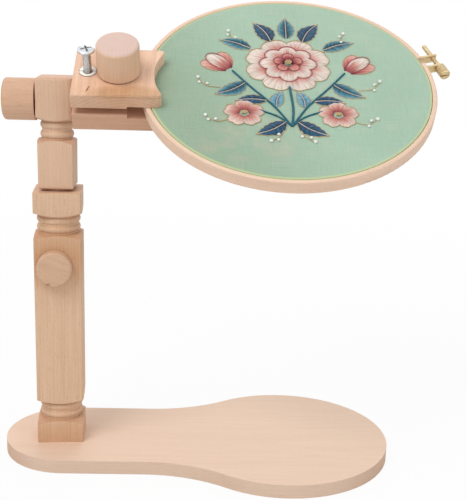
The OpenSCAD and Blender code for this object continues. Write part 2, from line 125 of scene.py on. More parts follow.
class Value:
    """A socket of a node tree that takes part in sums."""

    def __init__(self, nodes, socket):
        self.nodes = nodes
        self.socket = socket

    def worked(self, operation, other, swapped=False):
        first, second = (other, self) if swapped else (self, other)
        return self.nodes.maths(operation, first, second)

    def __add__(self, other):
        return self.worked("ADD", other)

    def __radd__(self, other):
        return self.worked("ADD", other)

    def __sub__(self, other):
        return self.worked("SUBTRACT", other)

    def __rsub__(self, other):
        return self.worked("SUBTRACT", other, True)

    def __mul__(self, other):
        return self.worked("MULTIPLY", other)

    def __rmul__(self, other):
        return self.worked("MULTIPLY", other)

    def __truediv__(self, other):
        return self.worked("DIVIDE", other)

    def __rtruediv__(self, other):
        return self.worked("DIVIDE", other, True)

    def __pow__(self, other):
        return self.worked("POWER", other)

    def __rpow__(self, other):
        return self.worked("POWER", other, True)


class Nodes:
    """A node tree that is built node by node."""

    def __init__(self, tree):
        self.tree = tree

    def node(self, kind, settings=None, sockets=None, out=0):
        """Any node: its settings are set first, then the values or links of its sockets."""
        made = self.tree.nodes.new("ShaderNode" + kind)
        for key, value in (settings or {}).items():
            setattr(made, key, value)
        for key, value in (sockets or {}).items():
            self.link(made.inputs[key], value)
        return Value(self, made.outputs[out])

    def link(self, socket, value):
        """Joins a socket to a value of this tree, or sets it to a plain number or colour."""
        if isinstance(value, Value):
            self.tree.links.new(value.socket, socket)
        else:
            socket.default_value = value

    def maths(self, operation, first, second=None):
        """A sum on one number or on two."""
        sockets = {0: first} if second is None else {0: first, 1: second}
        return self.node("Math", {"operation": operation}, sockets)


class Finish(Nodes):
    """A material with one Principled shader."""

    def __init__(self, name, roughness, metallic=0.0, specular=0.5):
        self.material = bpy.data.materials.new(name)
        self.material.use_nodes = True
        super().__init__(self.material.node_tree)
        self.shader = self.tree.nodes["Principled BSDF"]
        self.shader.inputs["Roughness"].default_value = roughness
        self.shader.inputs["Metallic"].default_value = metallic
        self.shader.inputs["Specular IOR Level"].default_value = specular

    def step(self, value, low, high):
        """0 below low, 1 above high, smooth between."""
        settings = {"interpolation_type": "SMOOTHSTEP"}
        return self.node("MapRange", settings, {"Value": value, "From Min": low, "From Max": high})

    def object_mm(self, place=None):
        """Object coordinates in millimetres, in the axes of a place."""
        here = self.node("TexCoord", out="Object")
        if place is not None:
            back = place.inverted()
            here = self.node("Mapping", {"vector_type": "POINT"}, {
                "Vector": here,
                "Location": back.translation,
                "Rotation": back.to_euler("XYZ")})
        return self.node("VectorMath", {"operation": "SCALE"}, {0: here, "Scale": 1 / MM})

    def stretch(self, vector, x, y, z):
        """A vector scaled along its three axes."""
        return self.node("VectorMath", {"operation": "MULTIPLY"}, {0: vector, 1: (x, y, z)})

    def noise(self, vector, scale=1.0, detail=2.0, roughness=0.5):
        """Soft noise from 0 to 1."""
        return self.node("TexNoise", {}, {
            "Vector": vector, "Scale": scale, "Detail": detail, "Roughness": roughness})

    def mix(self, amount, first, second, blend="MIX"):
        """Two colours mixed."""
        settings = {"data_type": "RGBA", "blend_type": blend}
        return self.node("Mix", settings, {0: amount, 6: first, 7: second}, out=2)

    def tinted(self, colour, tint, amount=1.0):
        """A colour multiplied by a tint, all over or by an amount."""
        full = self.mix(1.0, colour, rgba(tint), "MULTIPLY")
        if isinstance(amount, Value):
            return self.mix(amount, colour, full)
        return full

    def parts(self, vector):
        """The three numbers of a vector."""
        first = self.node("SeparateXYZ", {}, {0: vector})
        return [Value(self, output) for output in first.socket.node.outputs]

    def facing(self, axis):
        """How squarely the surface faces along an axis, from 0 to 1."""
        here = self.node("TexCoord", out="Normal")
        along = self.node("VectorMath", {"operation": "DOT_PRODUCT"}, {0: here, 1: tuple(axis)}, out="Value")
        return self.maths("ABSOLUTE", along)

    def colour(self, value):
        self.link(self.shader.inputs["Base Color"], value)

    def roughness(self, value):
        self.link(self.shader.inputs["Roughness"], value)

    def bump(self, height, depth_mm):
        """Bump whose full height is depth_mm."""
        made = self.node("Bump", {}, {"Height": height, "Distance": depth_mm * MM, "Strength": 1.0})
        self.link(self.shader.inputs["Normal"], made)


def rgba(colour):
    return (*colour, 1.0)


def reach_of(x, y):
    """How far a point is from the axis."""
    return (x * x + y * y) ** 0.5


# Beech, sanded and bare

BEECH_PALE = (0.745, 0.530, 0.380)
BEECH_DEEP = (0.615, 0.405, 0.275)
BEECH_FLECK = (0.330, 0.165, 0.090)
BEECH_CRACK = (0.160, 0.065, 0.035)
# Tint of the shade bands: painted shade, darker and warmer than the lit wood
SHADE_BAND_TINT = (0.82, 0.66, 0.50)
# Tint of a patch that is partly stained wood and partly painted shadow
STAIN_AND_SHADOW_TINT = (0.80, 0.76, 0.66)
END_TINT = (0.90, 0.82, 0.78)


def beech_figure(finish, along, seed, tint, figure=1.0, ringed=0.10):
    """Colour, roughness and bump of beech whose grain runs along the third axis of a vector."""
    drift = finish.noise(finish.stretch(along, 0.02, 0.02, 0.006), 1.0, 2.0)
    x, y = finish.parts(along)[:2]
    reach = reach_of(x + (48 + 11 * seed) + drift * 9, y + (30 - 7 * seed) + drift * 7)
    rings = finish.maths("SINE", reach * 2.3) * 0.5 + 0.5
    fibre = finish.noise(finish.stretch(along, 0.85, 0.85, 0.022), 1.0, 3.0, 0.65)
    hair = finish.noise(finish.stretch(along, 2.6, 2.6, 0.05), 1.0, 2.0, 0.6)
    streak = finish.noise(finish.stretch(along, 0.16, 0.16, 0.010), 1.0, 2.0)
    tone = rings * ringed + fibre * 0.75 + hair * 0.40 + streak * 0.40 - 0.32
    depth = finish.step(tone, 0.15, 0.95) * figure + 0.4 * (1 - figure)
    wood = finish.mix(depth, rgba(BEECH_PALE), rgba(BEECH_DEEP))
    fleck = finish.noise(finish.stretch(along, 2.2, 2.2, 0.34), 1.0, 1.0, 0.4)
    dash = finish.step(fleck, 0.63, 0.72)
    wide = finish.step(finish.noise(finish.stretch(along, 0.9, 0.9, 0.11), 1.0, 1.0, 0.4), 0.64, 0.76)
    wood = finish.mix(dash * (0.28 * figure), wood, rgba(BEECH_FLECK))
    wood = finish.mix(wide * (0.08 * figure), wood, rgba(BEECH_FLECK))
    finish.roughness(0.50 + fibre * 0.16 + dash * 0.1)
    finish.bump(fibre * 0.4 + hair * 0.3 - dash * 0.4, 0.04)
    return finish.tinted(wood, tint)


def beech(name, place, seed, tint, end=END_TINT, figure=1.0, ringed=0.10, shade_bands=(), edge=None, stain_and_shadow=None,
          mark=None):
    """Beech with its grain along the Z of a place and its end grain tinted.

    A shade band is painted shade, darker and warmer than the rest: an axis number of the place, the middle
    and half width along it in mm, and its strength. Edge is painted shade on upright faces. The stained patch
    is partly stained wood and partly painted shadow, and a mark is a dark blemish."""
    finish = Finish(name, 0.55, specular=0.35)
    here = finish.object_mm(place)
    wood = beech_figure(finish, here, seed, tint, figure, ringed)
    if end is not None:
        wood = finish.tinted(wood, end, finish.step(finish.facing(place.col[2].xyz), 0.35, 0.95))
    if shade_bands:
        ways = finish.parts(here)
        for axis, middle, half, strength in shade_bands:
            off = finish.maths("ABSOLUTE", ways[axis] - middle)
            # Painted shade: each band darkens and warms the wood about its middle
            wood = finish.tinted(wood, SHADE_BAND_TINT, finish.step(off, half, 0.0) * strength)
    # Painted shade: upright faces darkened, as they take less light than the tops
    if edge is not None:
        wood = finish.tinted(wood, edge, finish.step(finish.facing((0, 0, 1)), 0.8, 0.3))
    # A patch partly stained and partly painted shadow, darker and warmer
    if stain_and_shadow is not None:
        wood = finish.tinted(wood, STAIN_AND_SHADOW_TINT, blemish(finish, *stain_and_shadow))
    if mark is not None:
        wood = finish.mix(blemish(finish, *mark), wood, rgba(BEECH_CRACK))
    finish.colour(wood)
    return finish.material


def blemish(finish, place, spot, size, lean, strength):
    """A ragged oval on the front of a place, at a spot and of a size in mm, that leans across."""
    here = finish.object_mm(place)
    x, y, z = finish.parts(here)
    ragged = finish.noise(here, 0.9, 2.0)
    across = (x - spot[0] + (ragged - 0.5) * 1.6 - (y - spot[1]) * lean) / size[0]
    along = (y - spot[1]) / size[1]
    inside = finish.step(across * across + along * along, 1.0, 0.25)
    return inside * finish.step(z, spot[2], spot[2] + 2) * strength


def bent_beech(name, place, seed, tint):
    """Beech strip bent to a ring, with its grain running round the Z of a place."""
    finish = Finish(name, 0.52, specular=0.35)
    x, y, z = finish.parts(finish.object_mm(place))
    angle = finish.maths("ARCTAN2", y, x)
    along = finish.node("CombineXYZ", {}, {0: reach_of(x, y), 1: z, 2: angle * (RING_R / MM)})
    finish.colour(beech_figure(finish, along, seed, tint, 0.7))
    return finish.material


# Metals

ZINC = ((0.78, 0.79, 0.81), (0.58, 0.60, 0.63))
GILT = ((0.80, 0.64, 0.38), (0.58, 0.42, 0.22))


def metal(name, colour, dark, roughness, grain):
    """Bright metal with fine scratches along one axis and a little tarnish."""
    finish = Finish(name, roughness, metallic=1.0)
    here = finish.object_mm()
    scratches = finish.noise(finish.stretch(here, *grain), 1.0, 3.0, 0.6)
    tarnish = finish.noise(here, 0.35, 3.0, 0.6)
    finish.colour(finish.mix(finish.step(tarnish, 0.35, 0.8), rgba(colour), rgba(dark)))
    finish.roughness(roughness + scratches * 0.18)
    finish.bump(scratches, 0.02)
    return finish.material


def threaded(name, place, colour, dark, roughness, shank_r, pitch, knurls=0, cross=None):
    """Metal screw along the Z of a place: a thread within the shank's radius, and a knurled head outside it.

    A cross is the shadow in the head's recess, turned by some degrees. The valleys of the thread and of the
    knurls carry painted shade."""
    finish = Finish(name, roughness, metallic=1.0)
    here = finish.object_mm(place)
    x, y, z = finish.parts(here)
    turn = finish.maths("ARCTAN2", y, x)
    reach = reach_of(x, y)
    shank = finish.step(reach, shank_r + 0.35, shank_r + 0.15)
    round_off = finish.maths("FRACT", z / pitch - turn / math.tau + 100)
    crest = finish.maths("ABSOLUTE", round_off - 0.5) * 2
    side = finish.step(finish.facing(place.col[2].xyz), 0.5, 0.2)
    relief = crest * shank * side
    if knurls:
        knurl = finish.maths("SINE", turn * knurls) * 0.5 + 0.5
        relief = relief + knurl * (1 - shank) * side
    tarnish = finish.noise(here, 0.6, 3.0, 0.6)
    bright = finish.mix(finish.step(tarnish, 0.35, 0.8), rgba(colour), rgba(dark))
    # Painted shade: the valleys of the thread and of the knurls are darkened
    low = (1 - relief) * side * (0.35 if knurls else 0.22)
    bright = finish.mix(low, bright, rgba(tuple(0.45 * c for c in dark)))
    if cross is not None:
        recess = cross_shadow(finish, x, y, math.radians(cross))
        recess = recess * finish.step(reach, RECESS_R + 0.4, RECESS_R)
        bright = finish.mix(recess * (1 - side) * 0.9, bright, (0.09, 0.09, 0.095, 1))
    finish.colour(bright)
    finish.roughness(roughness + tarnish * 0.12)
    finish.bump(relief, 0.22)
    return finish.material


def cross_shadow(finish, x, y, turn):
    """1 within the four arms of a cross about the axis, turned by an angle."""
    cos, sin = math.cos(turn), math.sin(turn)
    first = finish.maths("ABSOLUTE", x * cos + y * sin)
    second = finish.maths("ABSOLUTE", y * cos - x * sin)
    return finish.step(finish.maths("MINIMUM", first, second), 0.9, 0.4)


def bright_insert(place):
    """Pale threaded insert about the Z of a place, with painted shade round its hole and along its rim."""
    finish = Finish("bright_insert", 0.32)
    x, y = finish.parts(finish.object_mm(place))[:2]
    reach = reach_of(x, y)
    past_hole = finish.step(reach, INSERT_HOLE_R, INSERT_HOLE_R + 0.6)
    within_rim = finish.step(reach, INSERT_R, INSERT_R - 0.5)
    # Painted shade round the hole and along the rim
    finish.colour(finish.mix(past_hole * within_rim, (0.10, 0.08, 0.06, 1), (0.98, 0.95, 0.87, 1)))
    return finish.material


# Cotton cloth, plain weave

CLOTH_PALE = (0.430, 0.590, 0.455)
CLOTH_DEEP = (0.290, 0.435, 0.325)
CLOTH_EDGE = (0.560, 0.640, 0.330)
CLOTH_FADE = (0.540, 0.560, 0.440)
# Painted shade on the cloth toward its left and front
CLOTH_SHADE_TINT = (0.80, 0.78, 0.74)


def cotton():
    """Sage cotton: over-and-under threads in the plane of the hoop, faded in places, yellower at its edge,
    painted shade toward its left.
    """
    finish = Finish("sage_cotton", 0.85, specular=0.2)
    here = finish.object_mm(HOOP)
    x, y = finish.parts(here)[:2]
    wander = finish.noise(finish.stretch(here, 0.12, 0.12, 0.12), 1.0, 2.0) * 1.5
    warp = finish.maths("SINE", (x + wander) * (math.pi * THREADS_PER_MM))
    weft = finish.maths("SINE", (y + wander) * (math.pi * THREADS_PER_MM))
    over = warp * weft
    slub_x = finish.noise(finish.stretch(here, 2.2, 0.05, 0.5), 1.0, 1.0)
    slub_y = finish.noise(finish.stretch(here, 0.05, 2.2, 0.5), 1.0, 1.0)
    cloud = finish.noise(finish.stretch(here, 0.02, 0.02, 0.02), 1.0, 2.0)
    speckle = finish.noise(finish.stretch(here, 0.8, 0.8, 0.8), 1.0, 3.0, 0.7)
    tone = over * 0.12 + slub_x * 0.45 + slub_y * 0.45 + cloud * 0.35 + speckle * 0.7 - 0.65
    cloth = finish.mix(finish.step(tone, 0.0, 0.85), rgba(CLOTH_PALE), rgba(CLOTH_DEEP))
    worn = finish.noise(finish.stretch(here, 0.055, 0.075, 0.05), 1.0, 5.0, 0.65)
    from_patch = ((x + 28) * (x + 28) * 0.3 + (y + 62) * (y + 62)) ** 0.5
    patch = finish.step(worn, 0.44, 0.60) * finish.step(from_patch, 34, 10)
    cloth = finish.mix(finish.step(worn, 0.50, 0.72) * 0.3 + patch * 0.5, cloth, rgba(CLOTH_FADE))
    # Painted shade: the cloth darkens toward its left and front
    cloth = finish.tinted(cloth, CLOTH_SHADE_TINT, finish.step(x + y * 0.5 + cloud * 60, 40, -70))
    rim = finish.step(reach_of(x, y), INNER_R / MM - 2.2, INNER_R / MM - 0.4)
    finish.colour(finish.mix(rim * 0.75, cloth, rgba(CLOTH_EDGE)))
    finish.bump(over * 0.5 + slub_x * 0.3 + slub_y * 0.3, 0.10)
    finish.shader.inputs["Sheen Weight"].default_value = 0.15
    return finish.material


def floss():
    """Stranded embroidery thread: colour from the piece, strands across its UV map, painted sheen on pale
    streaks and painted shade between the strands and along dark streaks.
    """
    finish = Finish("embroidery_floss", 0.50, specular=0.18)
    shade = finish.node("Attribute", {"attribute_name": "thread"}, out="Color")
    along, across = finish.parts(finish.node("UVMap", {"uv_map": "strands"}))[:2]
    strand = finish.maths("SINE", across * (math.tau / STRAND_W)) * 0.5 + 0.5
    lines = finish.node("CombineXYZ", {}, {0: across * 1.5, 1: along * 0.08, 2: 0.0})
    streak = finish.noise(lines, 1.0, 2.0, 0.6)
    # Painted sheen: pale streaks along the strands
    lit = finish.mix(finish.step(streak, 0.48, 0.72) * 0.14, shade, (0.95, 0.90, 0.84, 1))
    # Painted shade: darker between the strands and along the dark streaks
    between = (1 - strand) * 0.40 + finish.step(streak, 0.50, 0.28) * 0.35
    finish.colour(finish.mix(between, lit, (0.20, 0.19, 0.20, 1), "MULTIPLY"))
    finish.bump(strand, 0.15)
    finish.shader.inputs["Sheen Weight"].default_value = 0.05
    return finish.material


def bead_white():
    """White glass with a little mottling."""
    colour = (0.86, 0.85, 0.82)
    finish = Finish("white_beads", 0.22)
    mottle = finish.noise(finish.object_mm(), 1.4, 2.0)
    finish.colour(finish.mix(mottle * 0.35, rgba(colour), rgba(tuple(c * 0.6 for c in colour))))
    finish.roughness(0.22 + mottle * 0.1)
    return finish.material


# Making meshes

def new_object(name, mesh, body, material):
    """Puts a mesh in the scene as a piece that rides on a body."""
    piece = bpy.data.objects.new(name, mesh)
    bpy.context.collection.objects.link(piece)
    piece.data.materials.append(material)
    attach(piece, body)
    return piece


def mesh_from(name, shape, smooth_angle=35):
    """Turns a bmesh into a smooth-shaded mesh with its hard edges kept."""
    mesh = bpy.data.meshes.new(name)
    shape.to_mesh(mesh)
    shape.free()
    mesh.shade_smooth()
    mesh.set_sharp_from_angle(angle=math.radians(smooth_angle))
    return mesh


def everything(shape):
    """All the geometry of a bmesh."""
    return shape.verts[:] + shape.edges[:] + shape.faces[:]


def soften(piece, width_mm, segments):
    """Rounds a piece's hard edges."""
    rounding = piece.modifiers.new("edge", "BEVEL")
    rounding.width = width_mm * MM
    rounding.segments = segments
    rounding.limit_method = "ANGLE"
    rounding.angle_limit = math.radians(32)
    rounding.harden_normals = True
    rounding.use_clamp_overlap = True


def merged_copy(node):
    """A closed, merged copy of a CAD node's mesh, flat faces joined."""
    shape = bmesh.new()
    shape.from_mesh(frame["nodes"][node].data)
    bmesh.ops.remove_doubles(shape, verts=shape.verts, dist=0.002 * MM)
    bmesh.ops.dissolve_limit(shape, angle_limit=math.radians(0.6), verts=shape.verts, edges=shape.edges)
    return shape


def dressed(node, body, material, width_mm, segments=3, reshape=None):
    """A copy of a CAD node with rounded edges, which replaces it."""
    shape = merged_copy(node)
    if reshape is not None:
        reshape(shape)
    piece = new_object(node + "_finished", mesh_from(node, shape), body, material)
    soften(piece, width_mm, segments)
    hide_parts(node)


def repaint(node, material):
    """Gives a CAD node a better material."""
    for entry in frame["nodes"][node].material_slots:
        entry.material = material


# Wood

def reshape_post(shape):
    """Makes the head as wide on the right as on the left, its right edges rounded, and the rest slimmer."""
    bmesh.ops.symmetrize(shape, input=everything(shape), direction="-X", dist=0.001 * MM)
    half = max(v.co.y for v in shape.verts)
    right = max(v.co.x for v in shape.verts)
    beads = joint("clamp_tilt")["pos_m"][2] - BEADS_BELOW_BOLT * MM
    bottom = beads + HEAD_ABOVE_BEADS * MM
    round_r = HEAD_ROUND * MM
    start = right - round_r
    for i in range(HEAD_CUTS):
        cut = start + round_r * math.sin(math.radians(90 * i / HEAD_CUTS))
        bmesh.ops.bisect_plane(shape, geom=everything(shape), plane_co=(cut, 0, 0), plane_no=(1, 0, 0))
    for vert in shape.verts:
        if vert.co.z > bottom and vert.co.x > start:
            depth = math.sqrt(max(round_r ** 2 - (vert.co.x - start) ** 2, 0))
            room = half - round_r + depth
            vert.co.y = min(max(vert.co.y, -room), room)
        if vert.co.xy.length > DOWEL_WALL * MM:
            below = min(max((beads - vert.co.z) / (SLIMMER_OVER * MM), 0), 1)
            vert.co.xy = vert.co.xy * (1 - SQUARE_SLIMMER * below)


def trim_boss(shape):
    """Takes off the jaw's boss, which lies inside the widened head."""
    cut = bmesh.ops.bisect_plane(shape, geom=everything(shape), plane_co=(JAW_START * MM, 0, 0),
                                 plane_no=(-1, 0, 0), clear_outer=True)
    edges = [e for e in cut["geom_cut"] if isinstance(e, bmesh.types.BMEdge)]
    bmesh.ops.triangle_fill(shape, edges=edges, use_beauty=True)


def add_post_wood():
    """The board, the posts, the dowel and the height knob."""
    lengthways = place_on((0, 4 * MM, 0), (0, 0, -1), (1, 0, 0))
    upright = place_on((0, 0, 0), (1, 0, 0), (0, 0, 1))
    knob = joint("height_knob_turn")
    front = place_on(knob["pos_m"], (1, 0, 0), knob["axis"])
    slanted = place_on(knob["pos_m"], (0, -1, 0), (-1, 0, 0.4))
    # The board's edge tint is painted shade on its upright faces
    board = beech("beech_board", lengthways, 3.2, (1.14, 1.20, 1.30), figure=0.45, edge=(0.91, 0.92, 0.92))
    dressed("base_board", "base", board, 1.7, segments=4)
    lower = beech("beech_lower_post", upright, 1.0, (1.00, 0.96, 0.90),
                  # Painted shade under the cap and at the foot
                  shade_bands=((2, 160, 34, 0.7), (2, 14, 24, 0.5)))
    dressed("lower_post", "base", lower, 0.5)
    upper = beech("beech_upper_post", upright, 2.1, (0.97, 0.94, 0.91), figure=0.7)
    dressed("upper_post", "upper_post", upper, 0.5, reshape=reshape_post)
    dressed("dowel", "dowel", beech("beech_dowel", upright, 0.4, (0.95, 0.93, 0.92)), 0.4)
    disc = beech("beech_height_knob", slanted, 0.2, (0.90, 0.83, 0.77), end=None,
                 mark=(front, (-3.0, -11.4, 5), (2.0, 1.5), 0.6, 0.5))
    dressed("height_knob", "height_knob", disc, 0.5)


def add_clamp_wood():
    """The tilt knob, the jaws and the clamp knob."""
    across = place_on(CLAMP.translation, CLAMP_UP, (1, 0, 0))
    front_to_back = place_on(CLAMP @ (Vector(JAW_GRAIN_FROM) * MM), CLAMP_UP, CLAMP.col[1].xyz)
    dressed("tilt_knob", "tilt_knob", beech("beech_tilt_knob", across, 0.1, (0.92, 0.82, 0.77)), 0.2)
    # The clamp knob's end tint is paler than other end grain: the end grain's pinker hue plus painted light
    # on its top face
    top_knob = beech("beech_clamp_knob", CLAMP, 0.3, (1.06, 1.02, 0.98), end=(0.95, 1.04, 1.31), figure=0.55)
    dressed("clamp_knob", "clamp_knob", top_knob, 0.4)
    lower = beech("beech_lower_jaw", across, 1.7, (0.88, 0.76, 0.72))
    dressed("lower_jaw", "clamp", lower, 0.5, reshape=trim_boss)
    upper = beech("beech_upper_jaw", front_to_back, 2.6, (1.22, 1.20, 1.24), end=(0.87, 0.88, 0.88),
                  # Painted shade round the clamp knob and toward the jaw's front
                  ringed=0.20, shade_bands=((2, -24, 26, 0.35), (1, -21, 28, 0.45)),
                  # Partly a stained patch, partly the clamp knob's painted shadow in front of it
                  stain_and_shadow=(CLAMP, (54, -25, 23.5), (32, 12), 0.0, 1.0),
                  mark=(CLAMP, (26, -20.0, 20), (0.7, 4.2), 0.30, 0.85))
    dressed("upper_jaw", "upper_jaw", upper, 0.5)


def add_hoop_wood():
    """The hoop's two rings."""
    outer = bent_beech("beech_outer_ring", HOOP, 1.1, (1.17, 1.22, 1.30))
    inner = bent_beech("beech_inner_ring", HOOP, 0.6, (1.08, 1.06, 1.06))
    dressed("outer_ring", "hoop", outer, 0.2)
    dressed("inner_ring", "hoop", inner, 0.2)


# Metal pieces

def end_moved(node, place, length_mm, shift_mm, flat=1.0):
    """A reshape that moves a node's end of a given length along the Z of a place, and may flatten it."""
    def reshape(shape):
        start = corners_in(node, place)[1].z - length_mm * MM
        back = place.inverted()
        for vert in shape.verts:
            here = back @ vert.co
            if here.z > start:
                here.z = start + (here.z - start) * flat + shift_mm * MM
                vert.co = place @ here
    return reshape


def add_metal():
    """The screws with their threads, and the finish of the other metal pieces."""
    steel = metal("zinc_steel", *ZINC, 0.22, (2.0, 2.0, 0.2))
    brass = metal("plain_brass", *GILT, 0.34, (0.3, 2.0, 2.0))
    for node in ("base_screws", "height_bolt", "tilt_bolt", "tilt_washer", "clamp_bolt", "clamp_washer"):
        repaint(node, steel)
    for node in ("height_insert", "tilt_knob_nut", "clamp_knob_nut", "bracket_upper", "bracket_lower",
                 "bracket_tacks"):
        repaint(node, brass)
    level = joint("levelling_screw_turn")
    screw = place_on(level["pos_m"], (1, 0, 0), level["axis"])
    steel_screw = threaded("threaded_steel", screw, *ZINC, 0.20, LEVEL_SHANK_R, LEVEL_PITCH,
                           cross=RECESS_DEGREES)
    dressed("levelling_screw", "levelling_screw", steel_screw, 0.15,
            reshape=end_moved("levelling_screw", screw, LEVEL_HEAD_L, LEVEL_HEAD_RISE, LEVEL_HEAD_FLAT))
    repaint("levelling_insert", bright_insert(screw))
    tension = joint("tension_screw_turn")
    screw = place_on(tension["pos_m"], CLAMP_UP, tension["axis"])
    brass_screw = threaded("threaded_brass", screw, *GILT, 0.32, TENSION_SHANK_R, TENSION_PITCH,
                           knurls=TENSION_KNURLS)
    dressed("tension_screw", "tension_screw", brass_screw, 0.1,
            reshape=end_moved("tension_screw", screw, TENSION_END_L, TENSION_LONGER))


# Cloth

def add_cloth():
    """The cloth: flat across the inner ring, rolled over its edge and down between the rings."""
    skirt_r = INNER_R / MM + CLOTH_PAST_RING
    flat_r = skirt_r - CLOTH_ROLL
    profile = [(0.0, 0.0), (flat_r, 0.0)]
    for i in range(1, CLOTH_ROLL_STEPS + 1):
        turn = math.radians(90 * i / CLOTH_ROLL_STEPS)
        profile.append((flat_r + CLOTH_ROLL * math.sin(turn), CLOTH_ROLL * (math.cos(turn) - 1)))
    profile.append((skirt_r, CLOTH_ABOVE_FOOT - RING_H / MM))
    shape = bmesh.new()
    points = [shape.verts.new((reach * MM, 0, height * MM)) for reach, height in profile]
    edges = [shape.edges.new(pair) for pair in zip(points, points[1:])]
    bmesh.ops.spin(shape, geom=points + edges, axis=(0, 0, 1), cent=(0, 0, 0), steps=CLOTH_STEPS,
                   angle=math.tau, use_merge=True)
    bmesh.ops.remove_doubles(shape, verts=shape.verts, dist=0.01 * MM)
    bmesh.ops.recalc_face_normals(shape, faces=shape.faces)
    bmesh.ops.transform(shape, matrix=HOOP, verts=shape.verts)
    cloth = new_object("stretched_cloth", mesh_from("stretched_cloth", shape), "hoop", cotton())
    thick = cloth.modifiers.new("thickness", "SOLIDIFY")
    thick.thickness = CLOTH_THICK * MM
    thick.offset = -1
    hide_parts("cloth")
    return cloth


# Embroidery: a folk bouquet in the hoop's millimetres

def linear(red, green, blue):
    """A linear colour from three numbers up to 255."""
    return tuple(((c / 255 + 0.055) / 1.055) ** 2.4 for c in (red, green, blue))


CREAM = linear(250, 234, 220)
BLUSH = linear(240, 192, 180)
SALMON = linear(226, 140, 124)
ROSE = linear(188, 84, 96)
WINE = linear(136, 46, 64)
NAVY = linear(10, 40, 70)
DENIM = linear(18, 86, 122)
TEAL = linear(24, 114, 134)
SKY = linear(126, 188, 208)
GOLD = linear(222, 192, 138)


def blend(shades, amount):
    """A colour along a row of colours."""
    place = min(max(amount, 0.0), 0.9999) * (len(shades) - 1)
    step = int(place)
    return tuple(a + (b - a) * (place - step) for a, b in zip(shades[step], shades[step + 1]))


def heading_to(degrees):
    """A step of one millimetre in a direction, and one to its left."""
    turn = math.radians(degrees)
    out = Vector((math.cos(turn), math.sin(turn)))
    return out, Vector((-out.y, out.x))


def polar(origin, reach, degrees):
    """A point at a distance and direction from another."""
    return Vector(origin) + heading_to(degrees)[0] * reach


def curve(points, steps):
    """Points along a smooth curve through a few given ones."""
    given = [Vector(p) for p in points]
    given = [2 * given[0] - given[1]] + given + [2 * given[-1] - given[-2]]
    out = []
    for a, b, c, d in zip(given, given[1:], given[2:], given[3:]):
        for i in range(steps):
            t = i / steps
            out.append(0.5 * (2 * b + (c - a) * t + (2 * a - 5 * b + 4 * c - d) * t ** 2
                              + (3 * b - a - 3 * c + d) * t ** 3))
    return out + [given[-2]]


